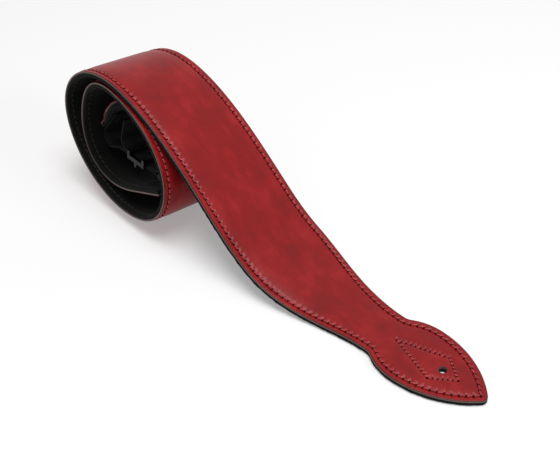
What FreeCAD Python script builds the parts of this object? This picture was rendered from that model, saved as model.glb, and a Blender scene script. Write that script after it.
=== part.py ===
import FreeCAD, Part
import math
import os

# Guitar strap, rolled up as it lies.  Millimetres, +Z up.  The origin is at the foot of the front
# button hole, +X points to the front leaf's tip and the strip runs off towards -X.
V = FreeCAD.Vector

# ---------------------------------------------------------------- the strip
BODY_WIDTH = 63.5
BODY_LENGTH = 787.0          # from the front leaf's tip to the inner end, along the strip
TOTAL_THICKNESS = 4.0
FACE_THICKNESS = 1.4
SUEDE_THICKNESS = 0.9
GLUE_FILM = 0.15
PADDING_THICKNESS = TOTAL_THICKNESS - FACE_THICKNESS - SUEDE_THICKNESS - 2 * GLUE_FILM
WIDENING_LENGTH = 86.0       # the strip widens from the neck to its full width over this length
STATION_STEP = 7.0
PATCH_LENGTH = 35.0

# ---------------------------------------------------------------- the leaves (button-hole ends)
TIP_DISTANCE = 30.5          # from the button hole to the tip
WIDEST_DISTANCE = 19.3       # from the button hole back to the widest place
LEAF_WIDTH = 49.6
NECK_WIDTH = 36.3
TIP_RADIUS = 4.25
HEEL_RADIUS = 36.0
NECK_RADIUS = 8.0
BUTTON_HOLE = 5.0

# ---------------------------------------------------------------- stitching
STITCH_INSET = 4.0
THREAD_WIDTH = 0.8
THREAD_HEIGHT = 0.35
THREAD_GAP = 0.05
GROOVE_WIDTH = 1.4
GROOVE_DEPTH = 0.45
PADDING_MARGIN = STITCH_INSET + 1.0
POCKET_PLAY = 0.3
KITE_BACK = 34.0
KITE_SIDE_X = 3.0
KITE_SIDE_Y = 10.5
KITE_FRONT = 10.8

# ---------------------------------------------------------------- webbing, ring and slide
WEBBING_WIDTH = 38.0
WEBBING_THICKNESS = 1.6
LAYER_GAP = 0.2
RING_WIRE = 3.0
RING_PLAY = 0.25
RING_PITCH = 9.0             # between the middles of the ring's two long bars
RING_LEAN = 175.0
LOOP_RADIUS = RING_WIRE / 2 + RING_PLAY + WEBBING_THICKNESS / 2
LOOP_CLOSE = 30.0
LOOP_EASE = 3.0
SLIDE_LENGTH = 18.0
SLIDE_BAR = 2.4
SLIDE_RAIL = 2.0
SLIDE_PLAY = 0.25
SLIDE_REST = 25.0            # from the ring bar to the slide's middle
REAR_NECK_WIDTH = WEBBING_WIDTH + 3.0

# ---------------------------------------------------------------- how the tail lies in the roll
TAIL_SIDE = -4.0             # the webbing lies this far off the strip's middle line
CHAPE_LENGTH = 22.0          # how much of the ring's loop lies on the strip
CHAPE_REACH = 3.0            # from the strip's inner end to the ring bar
CHAPE_TURNED_IN = 8.0        # how much shorter the loop's returning run is
CHAPE_SEAM = 8.0             # length of the seam that holds the loop
STANDING_RUN = 43.5          # from the ring bar to where the webbing dips
DIP_RADIUS = 20.0
DIP_TURN = 32.0
RISE_RADIUS = 7.0
NECK_SLOPE = 54.0            # the rear leaf climbs at this angle from its neck
NECK_OVERLAP = 20.0          # how far the webbing runs under the rear leaf
NECK_SEAM_START = 5.5
NECK_SEAM = 12.0
FLAT_RUN = 32.0              # the doubled stretch the slide runs on
FREE_RADIUS = 6.0
FREE_TURN = 100.0
FREE_LENGTH = 14.0
REAR_STRAIGHT = 26.0         # the rear leaf is straight this far, then bends
REAR_BEND = 26.0
REAR_LEAD = 12.0             # how far the outline is carried on past the neck's end
ROUND_TIP_INSET = 1.0        # lines further in than this meet in a point at the tip

# How the strip bends along its length: (distance from the tip, bend in 1/m, outwards positive).
BENDS = [
    (0, 0), (85, 0), (120, 8.7), (150, 6.7), (175, 9), (200, -0.4), (250, -4.4), (290, -8),
    (320, -17.6), (350, -26), (375, -34.2), (400, -17.2), (440, -12.2), (480, -15.2),
    (510, -32.6), (540, -29.2), (575, -14.6), (610, -9), (640, -42.8), (670, -15.8),
    (700, -33.9), (730, -23.8), (752, -12.1), (765, 0), (800, 0),
]
# How it twists: (distance from the tip, twist in 1/m).
TWISTS = [
    (0, 0), (90, 0), (150, 0.52), (220, 0.41), (320, 0.95), (440, 0.08), (560, -0.73),
    (660, 0.02), (752, -1.05), (765, 0), (800, 0),
]
SIDE_BOW = 0.25              # 1/m, between the two places below
SIDE_BOW_FROM = 90.0
SIDE_BOW_TO = 560.0
LIE_LENGTH = 787.0           # the body length the bends above are given for


def between(knots, x):
    """The knots' value at x, straight from one knot to the next."""
    for (x0, y0), (x1, y1) in zip(knots, knots[1:]):
        if x <= x1:
            return y0 + (y1 - y0) * (x - x0) / (x1 - x0)
    return knots[-1][1]


def turned(frame, turn):
    """The three unit vectors of a frame after a small turn given about those same vectors."""
    angle = turn.Length
    if angle < 1e-12:
        return frame
    along, out, across = frame
    axis = along * (turn.x / angle) + out * (turn.y / angle) + across * (turn.z / angle)
    spin = FreeCAD.Rotation(axis, math.degrees(angle))
    return [spin.multVec(v) for v in frame]


def lay_out():
    """The strip's outer face along its middle, a millimetre at a time: (place, frame)."""
    scale = BODY_LENGTH / LIE_LENGTH
    frame = [V(-1, 0, 0), V(0, 0, 1), V(0, 1, 0)]
    place = V(TIP_DISTANCE, 0, TOTAL_THICKNESS)
    line = [(place, frame)]
    for i in range(int(BODY_LENGTH) + 2):
        at = (i + 0.5) / scale
        bow = SIDE_BOW if SIDE_BOW_FROM < at < SIDE_BOW_TO else 0.0
        turn = V(between(TWISTS, at), -bow, between(BENDS, at)) * (0.001 / scale)
        ahead = turned(frame, turn)
        place = place + (frame[0] + ahead[0]) * 0.5
        frame = ahead
        line.append((place, frame))
    return line


LINE = lay_out()


def station(u):
    """Place and frame of the strip at distance u from the tip."""
    i = min(int(u), len(LINE) - 2)
    part = u - i
    (p0, f0), (p1, f1) = LINE[i], LINE[i + 1]
    frame = []
    for a, b in zip(f0, f1):
        v = a * (1 - part) + b * part
        frame.append(v.normalize())
    return p0 * (1 - part) + p1 * part, frame


def at_station(u, across, height):
    """A point beside the strip's middle line: across it, and above its outer face."""
    place, (along, out, side) = station(u)
    return place + side * across + out * height


def solid_from(faces):
    """One closed solid from faces that share their edges."""
    sheet = Part.makeCompound(faces)
    sheet.sewShape()
    solid = Part.makeSolid(sheet.Shells[0])
    if solid.Volume < 0:
        solid.reverse()
    return solid


def band(start, end, section):
    """A smooth strip from start to end; section(u) gives its corners as (across, height)."""
    count = max(2, math.ceil((end - start) / STATION_STEP))
    places = [start + (end - start) * k / count for k in range(count + 1)]
    rows = [[at_station(u, a, h) for a, h in section(u)] for u in places]
    curves = []
    for corner in zip(*rows):
        curve = Part.BSplineCurve()
        curve.interpolate(Points=list(corner), Parameters=places)
        curves.append(curve)
    patches = max(1, round((end - start) / PATCH_LENGTH))
    cuts = [start + (end - start) * k / patches for k in range(patches + 1)]
    faces = []
    for first, second in zip(curves, curves[1:] + curves[:1]):
        for low, high in zip(cuts, cuts[1:]):
            pair = (first.toShape(low, high), second.toShape(low, high))
            faces.append(Part.makeRuledSurface(*pair, 1))
    for row in (rows[0], rows[-1]):
        faces.append(Part.Face(Part.makePolygon(row + row[:1])))
    return solid_from(faces)


# ---------------------------------------------------------------- the leaf's outline
LEAF_REACH = TIP_DISTANCE + WIDEST_DISTANCE
LEAF_HALF = LEAF_WIDTH / 2
SIDE_RADIUS = (LEAF_REACH**2 - 2 * LEAF_REACH * TIP_RADIUS + LEAF_HALF**2) / (
    2 * (LEAF_HALF - TIP_RADIUS)
)


def neck_centre(neck_half):
    """Middle of the small hollow arc between the leaf's heel and its neck."""
    y = neck_half + NECK_RADIUS
    rise = y - (LEAF_HALF - HEEL_RADIUS)
    return -WIDEST_DISTANCE - math.sqrt((HEEL_RADIUS + NECK_RADIUS) ** 2 - rise**2), y


NECK_X = neck_centre(NECK_WIDTH / 2)[0]
NECK_AT = TIP_DISTANCE - NECK_X


def arc(x, y, radius, start, end):
    """An arc in the XY plane by its middle, radius and two angles in radians."""
    points = []
    for angle in (start, (start + end) / 2, end):
        points.append(V(x + radius * math.cos(angle), y + radius * math.sin(angle), 0))
    return Part.Arc(*points).toShape()


def leaf_face(inset, height, stop=NECK_X):
    """The leaf's outline, moved in by inset and closed straight across at its neck."""
    neck_x, neck_y = neck_centre(NECK_WIDTH / 2)
    heel_y = LEAF_HALF - HEEL_RADIUS
    side_y = LEAF_HALF - SIDE_RADIUS
    heel_end = math.atan2(neck_y - heel_y, neck_x + WIDEST_DISTANCE)
    edges = [
        arc(neck_x, neck_y, NECK_RADIUS + inset, -math.pi / 2, heel_end - math.pi),
        arc(-WIDEST_DISTANCE, heel_y, HEEL_RADIUS - inset, heel_end, math.pi / 2),
    ]
    if inset < TIP_RADIUS - 0.2:
        tip_x = TIP_DISTANCE - TIP_RADIUS
        side_end = math.atan2(-side_y, tip_x + WIDEST_DISTANCE)
        edges.append(arc(-WIDEST_DISTANCE, side_y, SIDE_RADIUS - inset, math.pi / 2, side_end))
        edges.append(arc(tip_x, 0, TIP_RADIUS - inset, side_end, 0))
    else:
        side_end = math.asin(-side_y / (SIDE_RADIUS - inset))
        edges.append(arc(-WIDEST_DISTANCE, side_y, SIDE_RADIUS - inset, math.pi / 2, side_end))
    half = Part.Wire(edges)
    first = V(neck_x, neck_y - NECK_RADIUS - inset, 0)
    other = half.mirror(V(0, 0, 0), V(0, 1, 0))
    across = Part.makeLine(first, V(first.x, -first.y, 0))
    wire = Part.Wire(Part.__sortEdges__(half.Edges + other.Edges + [across]))
    face = Part.Face(wire)
    if stop > NECK_X:
        face = face.cut(Part.makePlane(stop - NECK_X + 5, 200, V(NECK_X - 5, -100, 0)))
    return face.translated(V(0, 0, height))


def leaf_plate(inset, bottom, top, stop=NECK_X):
    """The leaf's outline as a plate between two heights."""
    return leaf_face(inset, bottom, stop).extrude(V(0, 0, top - bottom))


def leaf_ring(width, bottom, top):
    """A narrow line along the leaf's stitching, between two heights."""
    outer = leaf_face(STITCH_INSET - width / 2, bottom)
    inner = leaf_face(STITCH_INSET + width / 2, bottom)
    return outer.cut(inner).extrude(V(0, 0, top - bottom))


def kite_ring(width, bottom, top):
    """The kite-shaped line round the button hole."""
    corners = [
        V(-KITE_BACK, 0, bottom),
        V(-KITE_SIDE_X, KITE_SIDE_Y, bottom),
        V(KITE_FRONT, 0, bottom),
        V(-KITE_SIDE_X, -KITE_SIDE_Y, bottom),
    ]
    wire = Part.makePolygon(corners + corners[:1])
    outer = Part.Face(wire.makeOffset2D(width / 2, 2))
    inner = Part.Face(wire.makeOffset2D(-width / 2, 2))
    return outer.cut(inner).extrude(V(0, 0, top - bottom))


def button_hole(radius=BUTTON_HOLE / 2):
    return Part.makeCylinder(radius, 4 * TOTAL_THICKNESS, V(0, 0, -TOTAL_THICKNESS))


# ---------------------------------------------------------------- the strip's layers
def half_width(u):
    """Half the strip's width at distance u from the tip."""
    part = min(max((u - NECK_AT) / WIDENING_LENGTH, 0.0), 1.0)
    smooth = part * part * (3 - 2 * part)
    return (NECK_WIDTH + (BODY_WIDTH - NECK_WIDTH) * smooth) / 2


def slab(bottom, top, margin=0.0):
    """A plain section: the strip's width less a margin, between two heights."""

    def section(u):
        half = half_width(u) - margin
        return [(-half, bottom), (half, bottom), (half, top), (-half, top)]

    return section


def seam(side, width, bottom, top):
    """The section of a stitch line near one edge of the strip."""

    def section(u):
        middle = side * (half_width(u) - STITCH_INSET)
        left, right = middle - width / 2, middle + width / 2
        return [(left, bottom), (right, bottom), (right, top), (left, top)]

    return section


def joined(first, *others):
    """One solid out of pieces that meet face to face."""
    whole = first
    for other in others:
        whole = whole.fuse(other)
    return whole.Solids[0] if len(whole.Solids) == 1 else whole


SUEDE_TOP = -FACE_THICKNESS - GLUE_FILM
FLOOR_TOP = -TOTAL_THICKNESS + SUEDE_THICKNESS
POCKET_MARGIN = PADDING_MARGIN - POCKET_PLAY


def face_leather():
    flat = leaf_plate(0, TOTAL_THICKNESS - FACE_THICKNESS, TOTAL_THICKNESS).cut(button_hole())
    return joined(flat, band(NECK_AT, BODY_LENGTH, slab(-FACE_THICKNESS, 0)))


def tray_section(u):
    """The suede with the pocket for the padding above and a groove for each seam below."""
    half = half_width(u)
    pocket = half - POCKET_MARGIN
    outer = half - STITCH_INSET + GROOVE_WIDTH / 2
    inner = half - STITCH_INSET - GROOVE_WIDTH / 2
    low = -TOTAL_THICKNESS
    roof = low + GROOVE_DEPTH
    right = [
        (inner, low), (inner, roof), (outer, roof), (outer, low), (half, low),
        (half, SUEDE_TOP), (pocket, SUEDE_TOP), (pocket, FLOOR_TOP),
    ]
    left = [(-a, h) for a, h in reversed(right)]
    return right + left


def tray_end_section(u):
    """The closed end of the suede, past the padding: no pocket and no grooves."""
    half = half_width(u)
    low = -TOTAL_THICKNESS
    return [(-half, low), (half, low), (half, SUEDE_TOP), (-half, SUEDE_TOP)]


def backing_suede():
    top = TOTAL_THICKNESS + SUEDE_TOP
    flat = leaf_plate(0, 0, top)
    flat = flat.cut(leaf_plate(POCKET_MARGIN, SUEDE_THICKNESS, top + 1))
    flat = flat.cut(leaf_ring(GROOVE_WIDTH, -1, GROOVE_DEPTH))
    flat = flat.cut(kite_ring(GROOVE_WIDTH, -1, GROOVE_DEPTH))
    flat = flat.cut(button_hole())
    end = BODY_LENGTH - POCKET_MARGIN
    tray = band(NECK_AT, end, tray_section)
    closed = band(end, BODY_LENGTH, tray_end_section)
    return joined(flat, tray, closed)


def padding_foam():
    bottom = FLOOR_TOP + GLUE_FILM
    top = -FACE_THICKNESS - GLUE_FILM
    section = slab(bottom, top, PADDING_MARGIN)
    return band(NECK_AT + POCKET_PLAY / 2, BODY_LENGTH - PADDING_MARGIN, section)


def front_leaf_stiffener():
    bottom = TOTAL_THICKNESS + FLOOR_TOP + GLUE_FILM
    top = TOTAL_THICKNESS - FACE_THICKNESS - GLUE_FILM
    stop = NECK_X + POCKET_PLAY / 2
    return leaf_plate(PADDING_MARGIN, bottom, top, stop).cut(button_hole())


def seam_loop(bottom, top):
    """The long seam: round the leaf, along both edges and across the strip's inner end."""
    flat = leaf_ring(THREAD_WIDTH, TOTAL_THICKNESS + bottom, TOTAL_THICKNESS + top)
    turn = BODY_LENGTH - STITCH_INSET
    sides = [band(NECK_AT, turn, seam(side, THREAD_WIDTH, bottom, top)) for side in (-1, 1)]
    margin = STITCH_INSET - THREAD_WIDTH / 2
    end = band(turn, turn + THREAD_WIDTH, slab(bottom, top, margin))
    return joined(flat, *sides, end)


def edge_needle_thread():
    return seam_loop(THREAD_GAP, THREAD_GAP + THREAD_HEIGHT)


def edge_bobbin_thread():
    flat = leaf_ring(THREAD_WIDTH, 0, THREAD_HEIGHT)
    low = -TOTAL_THICKNESS
    end = BODY_LENGTH - POCKET_MARGIN
    sides = []
    for side in (-1, 1):
        sides.append(band(NECK_AT, end, seam(side, THREAD_WIDTH, low, low + THREAD_HEIGHT)))
    return joined(flat, *sides)


def kite_needle_thread():
    bottom = TOTAL_THICKNESS + THREAD_GAP
    return kite_ring(THREAD_WIDTH, bottom, bottom + THREAD_HEIGHT)


def kite_bobbin_thread():
    return kite_ring(THREAD_WIDTH, 0, THREAD_HEIGHT)


# ---------------------------------------------------------------- the tail, in its own upright plane
# Everything past the strip's inner end lies across one plane: a along the floor, c up, and the
# widths run along b.  The plane's origin is the middle of the strip's inner end, outer face.
def tail_placement():
    place, (along, out, side) = station(BODY_LENGTH)
    place = place + side * TAIL_SIDE
    level = V(1, 0, 0) - side * side.x
    level.normalize()
    up = level.cross(side)
    matrix = FreeCAD.Matrix(
        level.x, side.x, up.x, place.x,
        level.y, side.y, up.y, place.y,
        level.z, side.z, up.z, place.z,
        0, 0, 0, 1,
    )
    heading = math.degrees(math.atan2(along.dot(up), along.dot(level)))
    return FreeCAD.Placement(matrix), heading


TAIL, END_HEADING = tail_placement()


def way(heading, distance=1.0):
    angle = math.radians(heading)
    return V(math.cos(angle), 0, math.sin(angle)) * distance


def walk(start, heading, moves):
    """The legs of a path of straights and arcs, with its end place and heading."""
    legs = []
    place = start
    for radius, amount in moves:
        if radius == 0:
            ahead = place + way(heading, amount)
            legs.append((0, place, ahead, heading, heading))
            place = ahead
        else:
            middle = place + way(heading + math.copysign(90, amount), radius)
            after = heading + amount
            ahead = middle + way(after - math.copysign(90, amount), radius)
            legs.append((math.copysign(radius, amount), place, ahead, heading, after))
            place = ahead
            heading = after
    return legs, place, heading


def side_edges(legs, left):
    """The path's edges moved left by a distance (right where it is negative)."""
    edges = []
    for radius, start, end, before, after in legs:
        first = start + way(before + 90, left)
        last = end + way(after + 90, left)
        if radius == 0:
            edges.append(Part.makeLine(first, last))
        else:
            turn = math.copysign(90, radius)
            middle = start + way(before + turn, abs(radius))
            halfway = (before + after) / 2 - turn
            reach = abs(radius) - left * math.copysign(1, radius)
            edges.append(Part.Arc(first, middle + way(halfway, reach), last).toShape())
    return edges


def strip(start, heading, moves, left, right, width):
    """A strip of constant width along a path, between two distances left of the path."""
    legs, end, final = walk(start, heading, moves)
    caps = [
        Part.makeLine(start + way(heading + 90, left), start + way(heading + 90, right)),
        Part.makeLine(end + way(final + 90, left), end + way(final + 90, right)),
    ]
    edges = side_edges(legs, left) + side_edges(legs, right) + caps
    face = Part.Face(Part.Wire(Part.__sortEdges__(edges)))
    face.translate(V(0, -width / 2, 0))
    return face.extrude(V(0, width, 0))


def placed(shape):
    """A tail piece moved from its own plane to its place in the roll."""
    copy = shape.copy()
    copy.Placement = TAIL.multiply(copy.Placement)
    return copy


WEB = WEBBING_THICKNESS / 2
CHAPE_OFFSET = TOTAL_THICKNESS + LAYER_GAP + WEB


def loop_moves(spacing, tail):
    """Round a ring bar and back to lie against the other run, spacing above it."""
    lean = math.radians(LOOP_CLOSE)
    drop = LOOP_RADIUS * (1 + math.cos(lean)) - LOOP_EASE * (1 - math.cos(lean)) - spacing
    return [
        (LOOP_RADIUS, 180 + LOOP_CLOSE),
        (0, drop / math.sin(lean)),
        (LOOP_EASE, -LOOP_CLOSE),
        (0, tail),
    ]


CHAPE_START = way(END_HEADING, -CHAPE_LENGTH) + way(END_HEADING + 90, CHAPE_OFFSET)
CHAPE_RUN = CHAPE_LENGTH + CHAPE_REACH
BAR_ONE = way(END_HEADING, CHAPE_REACH) + way(END_HEADING + 90, CHAPE_OFFSET + LOOP_RADIUS)
BAR_TWO = BAR_ONE + way(RING_LEAN, RING_PITCH)


def ring_chape():
    """The webbing folded round the ring and lying on the suede at the strip's inner end."""
    moves = [(0, CHAPE_RUN)] + loop_moves(WEBBING_THICKNESS + LAYER_GAP, CHAPE_LENGTH - CHAPE_TURNED_IN)
    return placed(strip(CHAPE_START, END_HEADING, moves, WEB, -WEB, WEBBING_WIDTH))


def ring():
    """A closed rectangle of round wire with rounded corners, held by both webbing loops."""
    half = WEBBING_WIDTH / 2 + 1.0 + RING_WIRE / 2
    corner = 2.0
    points = [
        BAR_ONE - V(0, half, 0), BAR_ONE + V(0, half, 0),
        BAR_TWO + V(0, half, 0), BAR_TWO - V(0, half, 0),
    ]
    pieces = []
    for i, point in enumerate(points):
        following = points[(i + 1) % 4]
        before = (points[i - 1] - point).normalize()
        after = (following - point).normalize()
        start = point + after * corner
        length = (following - point).Length - 2 * corner
        pieces.append(Part.makeCylinder(RING_WIRE / 2, length, start, after))
        inner = point + (before + after) * corner
        profile = Part.Face(Part.Wire([Part.makeCircle(RING_WIRE / 2, start, after)]))
        pieces.append(profile.revolve(inner, before.cross(after).normalize(), 90))
    return placed(joined(*pieces))


# The adjuster webbing runs from the ring to the slide and on to the rear leaf's neck.
RISE_TURN = 180.0 + DIP_TURN - NECK_SLOPE
RUN_SPACING = WEBBING_THICKNESS + LAYER_GAP


def leaf_side_moves():
    return [
        (0, STANDING_RUN),
        (DIP_RADIUS, DIP_TURN),
        (RISE_RADIUS, -RISE_TURN),
        (0, NECK_OVERLAP),
    ]


RUN_START = BAR_TWO - V(0, 0, LOOP_RADIUS)


def adjuster_webbing():
    standing = strip(RUN_START, 180, leaf_side_moves(), WEB, -WEB, WEBBING_WIDTH)
    moves = loop_moves(RUN_SPACING, FLAT_RUN)
    moves += [(FREE_RADIUS, -FREE_TURN), (0, FREE_LENGTH)]
    returning = strip(RUN_START, 0, moves, WEB, -WEB, WEBBING_WIDTH)
    return placed(joined(standing, returning))


# ---------------------------------------------------------------- the rear leaf
REAR_LENGTH = NECK_AT
LEAF_LEGS, NECK_PLACE, NECK_HEADING = walk(RUN_START, 180, leaf_side_moves()[:-1])
REAR_START = NECK_PLACE + way(NECK_HEADING + 90, WEB + LAYER_GAP + TOTAL_THICKNESS)
REAR_TURN = math.degrees((REAR_LENGTH - REAR_STRAIGHT) / REAR_BEND)
PROJECTION = NECK_HEADING - REAR_TURN / 2


def rear_place(distance):
    """Place and heading on the rear leaf's outer face, by distance from its neck end."""
    if distance <= REAR_STRAIGHT:
        return REAR_START + way(NECK_HEADING, distance), NECK_HEADING
    turn = math.degrees((distance - REAR_STRAIGHT) / REAR_BEND)
    legs, place, heading = walk(
        REAR_START, NECK_HEADING, [(0, REAR_STRAIGHT), (REAR_BEND, -turn)]
    )
    return place, heading


def rear_half_width(distance, inset):
    """Half the rear leaf's width at a distance from its neck end."""
    x = TIP_DISTANCE - REAR_LENGTH + distance
    from_widest = x + WIDEST_DISTANCE
    tip = LEAF_WIDTH
    tip_centre = TIP_DISTANCE - TIP_RADIUS
    meeting_slope = math.atan2(SIDE_RADIUS - LEAF_HALF, tip_centre + WIDEST_DISTANCE)
    reach = TIP_RADIUS - inset
    if inset < ROUND_TIP_INSET and x > tip_centre + reach * math.cos(meeting_slope):
        tip = math.sqrt(max(reach**2 - (x - tip_centre) ** 2, 0.0))
    radius = HEEL_RADIUS if from_widest < 0 else SIDE_RADIUS
    rise = max((radius - inset) ** 2 - from_widest**2, 0.0)
    wide = LEAF_HALF - radius + math.sqrt(rise)
    if from_widest < 0:
        wide = max(wide, REAR_NECK_WIDTH / 2 - inset)
    return max(min(wide, tip), 0.0)


def rear_outline(inset):
    """A tall prism round the rear leaf's outline, standing on the leaf's mean slope."""
    reach = TIP_DISTANCE - inset
    if inset > ROUND_TIP_INSET:
        side_y = SIDE_RADIUS - LEAF_HALF
        reach = math.sqrt((SIDE_RADIUS - inset) ** 2 - side_y**2) - WIDEST_DISTANCE
    length = reach - TIP_DISTANCE + REAR_LENGTH
    count = 26
    side = []
    for k in range(count):
        distance = length * math.sin(math.pi / 2 * k / count)
        along = rear_place(distance)[0].dot(way(PROJECTION))
        side.append(V(along, rear_half_width(distance, inset), 0))
    tip = V(rear_place(length)[0].dot(way(PROJECTION)), 0, 0)
    other = [V(p.x, -p.y, 0) for p in reversed(side)]
    runs = [side + [tip] + other] if inset < ROUND_TIP_INSET else [side + [tip], [tip] + other]
    edges = []
    for run in runs:
        curve = Part.BSplineCurve()
        curve.interpolate(run)
        edges.append(curve.toShape())
    back = V(side[0].x - REAR_LEAD, side[0].y, 0)
    corners = [side[0], back, V(back.x, -back.y, 0), other[-1]]
    edges += [Part.makeLine(a, b) for a, b in zip(corners, corners[1:])]
    face = Part.Face(Part.Wire(Part.__sortEdges__(edges)))
    along, up = way(PROJECTION), way(PROJECTION + 90)
    matrix = FreeCAD.Matrix(
        along.x, 0, up.x, 0,
        0, 1, 0, 0,
        along.z, 0, up.z, 0,
        0, 0, 0, 1,
    )
    face.Placement = FreeCAD.Placement(matrix)
    middle = rear_place(REAR_STRAIGHT)[0].dot(up)
    face.translate(up * (middle - 60))
    return face.extrude(up * 120)


def rear_sheet(top, bottom, start=0.0):
    """A wide curved sheet between two heights above the rear leaf's outer face."""
    moves = [(0, REAR_STRAIGHT - start), (REAR_BEND, -REAR_TURN), (0, 4.0)]
    return strip(rear_place(start)[0], NECK_HEADING, moves, top, bottom, LEAF_WIDTH + 10)


def rear_hole(radius=BUTTON_HOLE / 2):
    place, heading = rear_place(REAR_LENGTH - TIP_DISTANCE)
    up = way(heading + 90)
    return Part.makeCylinder(radius, 20, place - up * 10, up)


def rear_line(width, top, bottom):
    """The rear leaf's stitch line."""
    wide = rear_sheet(top, bottom, 3.0).common(rear_outline(STITCH_INSET - width / 2))
    return wide.cut(rear_outline(STITCH_INSET + width / 2))


def rear_leaf_face():
    sheet = rear_sheet(0, -FACE_THICKNESS).common(rear_outline(0))
    return placed(sheet.cut(rear_hole()).Solids[0])


def rear_leaf_stiffener():
    sheet = rear_sheet(SUEDE_TOP, FLOOR_TOP + GLUE_FILM, 6.0)
    return placed(sheet.common(rear_outline(PADDING_MARGIN)).cut(rear_hole()).Solids[0])


def rear_leaf_backing():
    sheet = rear_sheet(SUEDE_TOP, -TOTAL_THICKNESS).common(rear_outline(0))
    pocket = rear_sheet(SUEDE_TOP + 1, FLOOR_TOP, 6.0 - POCKET_PLAY)
    sheet = sheet.cut(pocket.common(rear_outline(POCKET_MARGIN)))
    groove = rear_line(GROOVE_WIDTH, -TOTAL_THICKNESS + GROOVE_DEPTH, -TOTAL_THICKNESS - 1)
    return placed(sheet.cut(groove).cut(rear_hole()).Solids[0])


def rear_leaf_needle_thread():
    return placed(rear_line(THREAD_WIDTH, THREAD_GAP + THREAD_HEIGHT, THREAD_GAP))


def rear_leaf_bobbin_thread():
    low = -TOTAL_THICKNESS
    return placed(rear_line(THREAD_WIDTH, low + THREAD_HEIGHT, low))


# ---------------------------------------------------------------- seams that hold the webbing
def box_seam(start, heading, length, half, above):
    """A rectangle of thread lying on a flat stretch, above it by a small gap."""
    moves = [(0, length)]
    top, bottom = above + THREAD_HEIGHT, above
    outer = strip(start, heading, moves, top, bottom, 2 * half)
    begin = start + way(heading, THREAD_WIDTH)
    inner_moves = [(0, length - 2 * THREAD_WIDTH)]
    hole = strip(begin, heading, inner_moves, top + 1, bottom - 1, 2 * (half - THREAD_WIDTH))
    return outer.cut(hole)


SEAM_HALF = WEBBING_WIDTH / 2 - 3.0


def chape_needle_thread():
    start = way(END_HEADING, CHAPE_TURNED_IN - CHAPE_LENGTH)
    start = start + way(END_HEADING + 90, CHAPE_OFFSET + RUN_SPACING + WEB)
    return placed(box_seam(start, END_HEADING, CHAPE_SEAM, SEAM_HALF, THREAD_GAP))


def chape_bobbin_thread():
    start = way(END_HEADING, CHAPE_TURNED_IN - CHAPE_LENGTH)
    above = -THREAD_GAP - THREAD_HEIGHT
    return placed(box_seam(start, END_HEADING, CHAPE_SEAM, SEAM_HALF, above))


def neck_needle_thread():
    start = rear_place(NECK_SEAM_START)[0]
    return placed(box_seam(start, NECK_HEADING, NECK_SEAM, SEAM_HALF - 1.5, THREAD_GAP))


def neck_bobbin_thread():
    start = NECK_PLACE + way(NECK_HEADING, NECK_SEAM_START)
    above = -WEB - THREAD_GAP - THREAD_HEIGHT
    return placed(box_seam(start, NECK_HEADING, NECK_SEAM, SEAM_HALF - 1.5, above))


# ---------------------------------------------------------------- the slide
SLIDE_MIDDLE = RUN_START - V(SLIDE_REST, 0, 0)


def slide_bar(offset, height):
    reach = WEBBING_WIDTH / 2 + 0.8 + SLIDE_RAIL / 2
    start = SLIDE_MIDDLE + V(offset, -reach, height)
    return Part.makeCylinder(SLIDE_BAR / 2, 2 * reach, start, V(0, 1, 0))


def slide_block(offset, side, low, high, length):
    inside = WEBBING_WIDTH / 2 + 0.8
    y = inside if side > 0 else -inside - SLIDE_RAIL
    corner = SLIDE_MIDDLE + V(offset - length / 2, y, low)
    return Part.makeBox(length, SLIDE_RAIL, high - low, corner)


def tri_glide():
    """Two bars over the doubled webbing, one under it, and a rail at each side."""
    end = SLIDE_LENGTH / 2 - SLIDE_BAR / 2
    over = RUN_SPACING + WEB + SLIDE_PLAY + SLIDE_BAR / 2
    under = -WEB - SLIDE_PLAY - SLIDE_BAR / 2
    pieces = [slide_bar(-end, over), slide_bar(end, over), slide_bar(0, under)]
    for side in (-1, 1):
        pieces.append(slide_block(0, side, -0.6, RUN_SPACING + 0.6, SLIDE_LENGTH))
        for offset in (-end, end):
            pieces.append(slide_block(offset, side, -0.6, over + SLIDE_BAR / 2, SLIDE_BAR))
        pieces.append(slide_block(0, side, under - SLIDE_BAR / 2, 0.6, SLIDE_BAR))
    return placed(joined(*pieces).removeSplitter())


PIECES = [
    face_leather,
    padding_foam,
    backing_suede,
    front_leaf_stiffener,
    edge_needle_thread,
    edge_bobbin_thread,
    kite_needle_thread,
    kite_bobbin_thread,
    rear_leaf_face,
    rear_leaf_stiffener,
    rear_leaf_backing,
    rear_leaf_needle_thread,
    rear_leaf_bobbin_thread,
    adjuster_webbing,
    neck_needle_thread,
    neck_bobbin_thread,
    ring_chape,
    chape_needle_thread,
    chape_bobbin_thread,
    ring,
    tri_glide,
]

os.makedirs("parts", exist_ok=True)
for make in PIECES:
    shape = make()
    print(make.__name__, len(shape.Solids), round(shape.Volume, 2), shape.isValid(), shape.BoundBox)
    shape.exportStep("parts/" + make.__name__ + ".step")
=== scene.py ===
import math
from functools import partial

import bmesh
import bpy
from mathutils import Matrix, Quaternion, Vector
from mathutils.kdtree import KDTree
from mathutils.noise import noise as unevenness


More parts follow.
